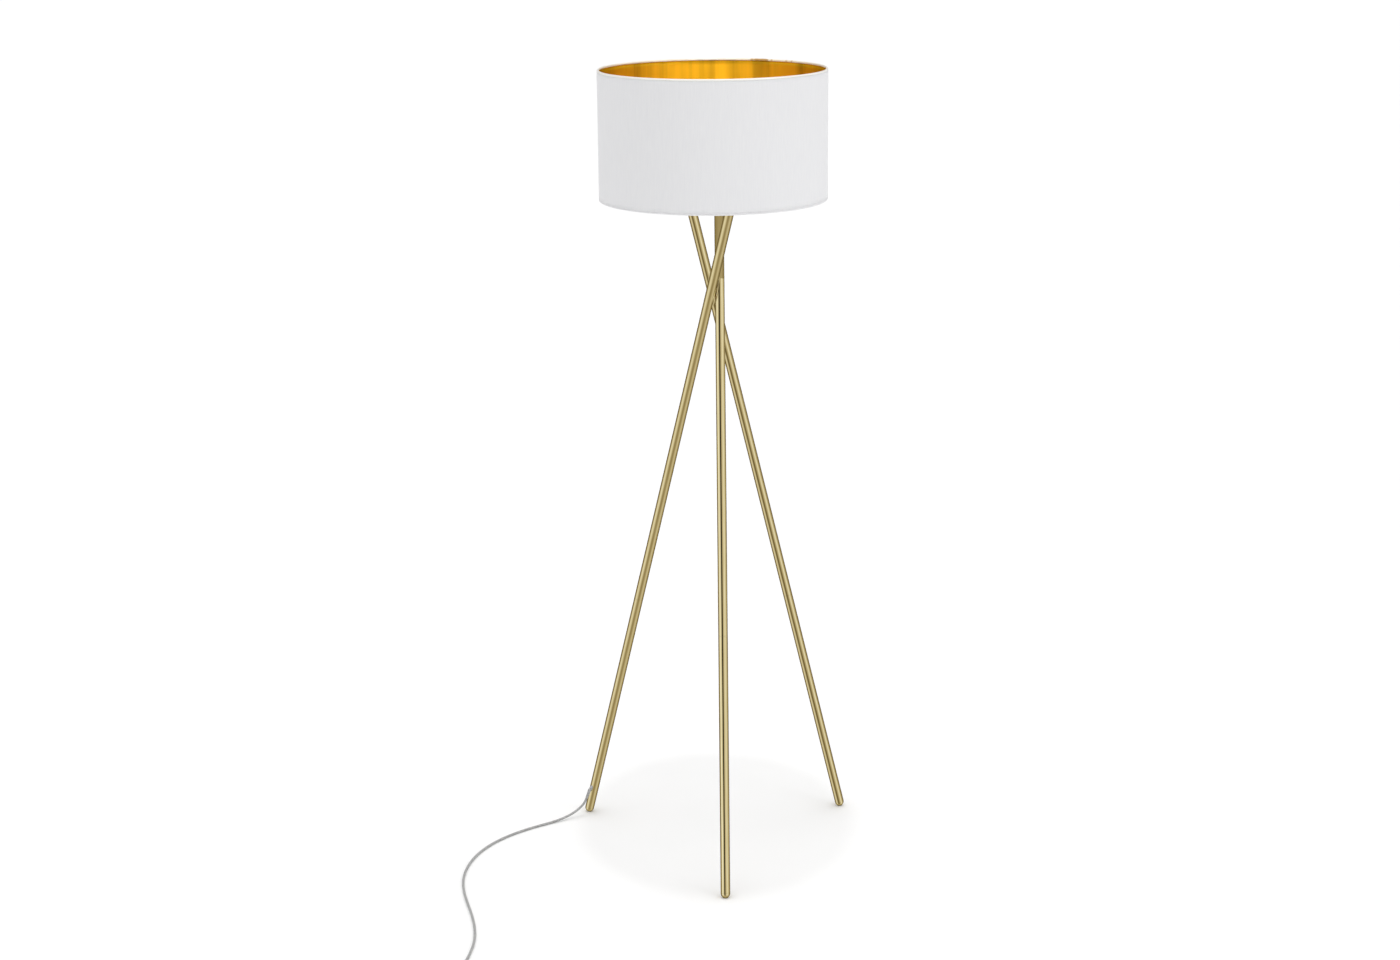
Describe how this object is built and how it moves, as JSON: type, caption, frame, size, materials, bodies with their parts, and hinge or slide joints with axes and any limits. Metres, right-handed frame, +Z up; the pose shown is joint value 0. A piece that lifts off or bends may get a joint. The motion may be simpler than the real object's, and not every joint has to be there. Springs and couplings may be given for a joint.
{
  "type": "tripod floor lamp",
  "caption": "Floor lamp: slim brass tube legs that cross below a white drum shade with a gold lining, a lampholder hub, a bulb and a corded foot switch",
  "frame": {"origin": "on the floor, on the lamp's vertical axis, midway between the three feet", "axes": "+Z up; the front foot lies along -Y, +X is to the right seen from the front"},
  "size_m": [0.806, 0.9756, 1.6],
  "materials": {
    "brushed_brass": "brass-coloured, brushed along the tube, satin lacquer",
    "foot_glide": "matt non-slip",
    "zinc_steel": "zinc plated",
    "holder_plastic": "moulded",
    "holder_ceramic": "unglazed",
    "contact_brass": "stamped",
    "bulb_opal": "opal",
    "bulb_cap_metal": "rolled thread",
    "bulb_black_glass": "glossy",
    "led_board": "printed board",
    "shade_cloth": "fine weave laminated on sheet",
    "shade_foil": "metallic gold foil",
    "fitter_wire": "plated wire",
    "clear_cord": "clear flexible sheath",
    "white_plastic": "moulded",
    "button_plastic": "moulded",
    "spring_steel": "plain",
    "pin_sleeve": "moulded"
  },
  "bodies": {
    "stand": {"cable_inner": "clear_cord", "cord_coil": "clear_cord", "cord_coil_tail": "clear_cord", "cord_lamp_lead": "clear_cord", "cord_outlet": "clear_cord", "cord_plug_lead": "clear_cord", "cord_ties": "white_plastic", "foot_cap_front": "brushed_brass", "foot_cap_left": "brushed_brass", "foot_cap_right": "brushed_brass", "foot_pads": "foot_glide", "hub_base": "brushed_brass", "hub_cover": "brushed_brass", "hub_nuts": "zinc_steel", "hub_screws": "brushed_brass", "hub_washers": "zinc_steel", "lampholder_cap": "holder_plastic", "lampholder_centre_contact": "contact_brass", "lampholder_insulator": "holder_ceramic", "lampholder_screws": "contact_brass", "lampholder_skirt": "holder_plastic", "lampholder_thread_shell": "contact_brass", "leg_joint_bushes": "zinc_steel", "leg_joint_spigots": "zinc_steel", "leg_lower_front": "brushed_brass", "leg_lower_left": "brushed_brass", "leg_lower_right": "brushed_brass", "leg_top_studs": "zinc_steel", "leg_upper_front": "brushed_brass", "leg_upper_left": "brushed_brass", "leg_upper_right": "brushed_brass", "nipple": "zinc_steel", "plug_body": "white_plastic", "plug_pin_sleeves": "pin_sleeve", "plug_pins": "contact_brass", "plug_relief": "clear_cord", "shade_ring_nut": "holder_plastic", "switch_base": "white_plastic", "switch_contacts": "contact_brass", "switch_cover": "white_plastic", "switch_reliefs": "clear_cord", "switch_screws": "spring_steel", "switch_spring": "spring_steel", "waist_welds": "brushed_brass"},
    "shade": {"shade_fabric": "shade_cloth", "shade_fitter_ring": "fitter_wire", "shade_lining": "shade_foil", "shade_spokes": "fitter_wire", "shade_trim_bottom": "shade_cloth", "shade_trim_top": "shade_foil", "shade_wire_bottom": "fitter_wire", "shade_wire_top": "fitter_wire"},
    "bulb": {"bulb_cap": "bulb_cap_metal", "bulb_collar": "bulb_opal", "bulb_contact": "contact_brass", "bulb_globe": "bulb_opal", "bulb_insulator": "bulb_black_glass", "bulb_led_board": "led_board"},
    "switch_button": {"switch_button": "button_plastic"}
  },
  "joints": [
    {"name": "shade_turn", "type": "hinge", "parent": "stand", "child": "shade", "pos_m": [0, 0, 1.4128], "axis": [0, 0, 1], "continuous": true},
    {"name": "bulb_lift", "type": "slide", "parent": "stand", "child": "bulb", "axis": [0, 0, 1], "range_m": [0, 0.2]},
    {"name": "switch_press", "type": "slide", "parent": "stand", "child": "switch_button", "axis": [0, 0, -1], "range_m": [0, 0.0025], "stiffness_N_per_m": 800, "springref_m": -0.001, "deforming": ["switch_spring"]}
  ]
}
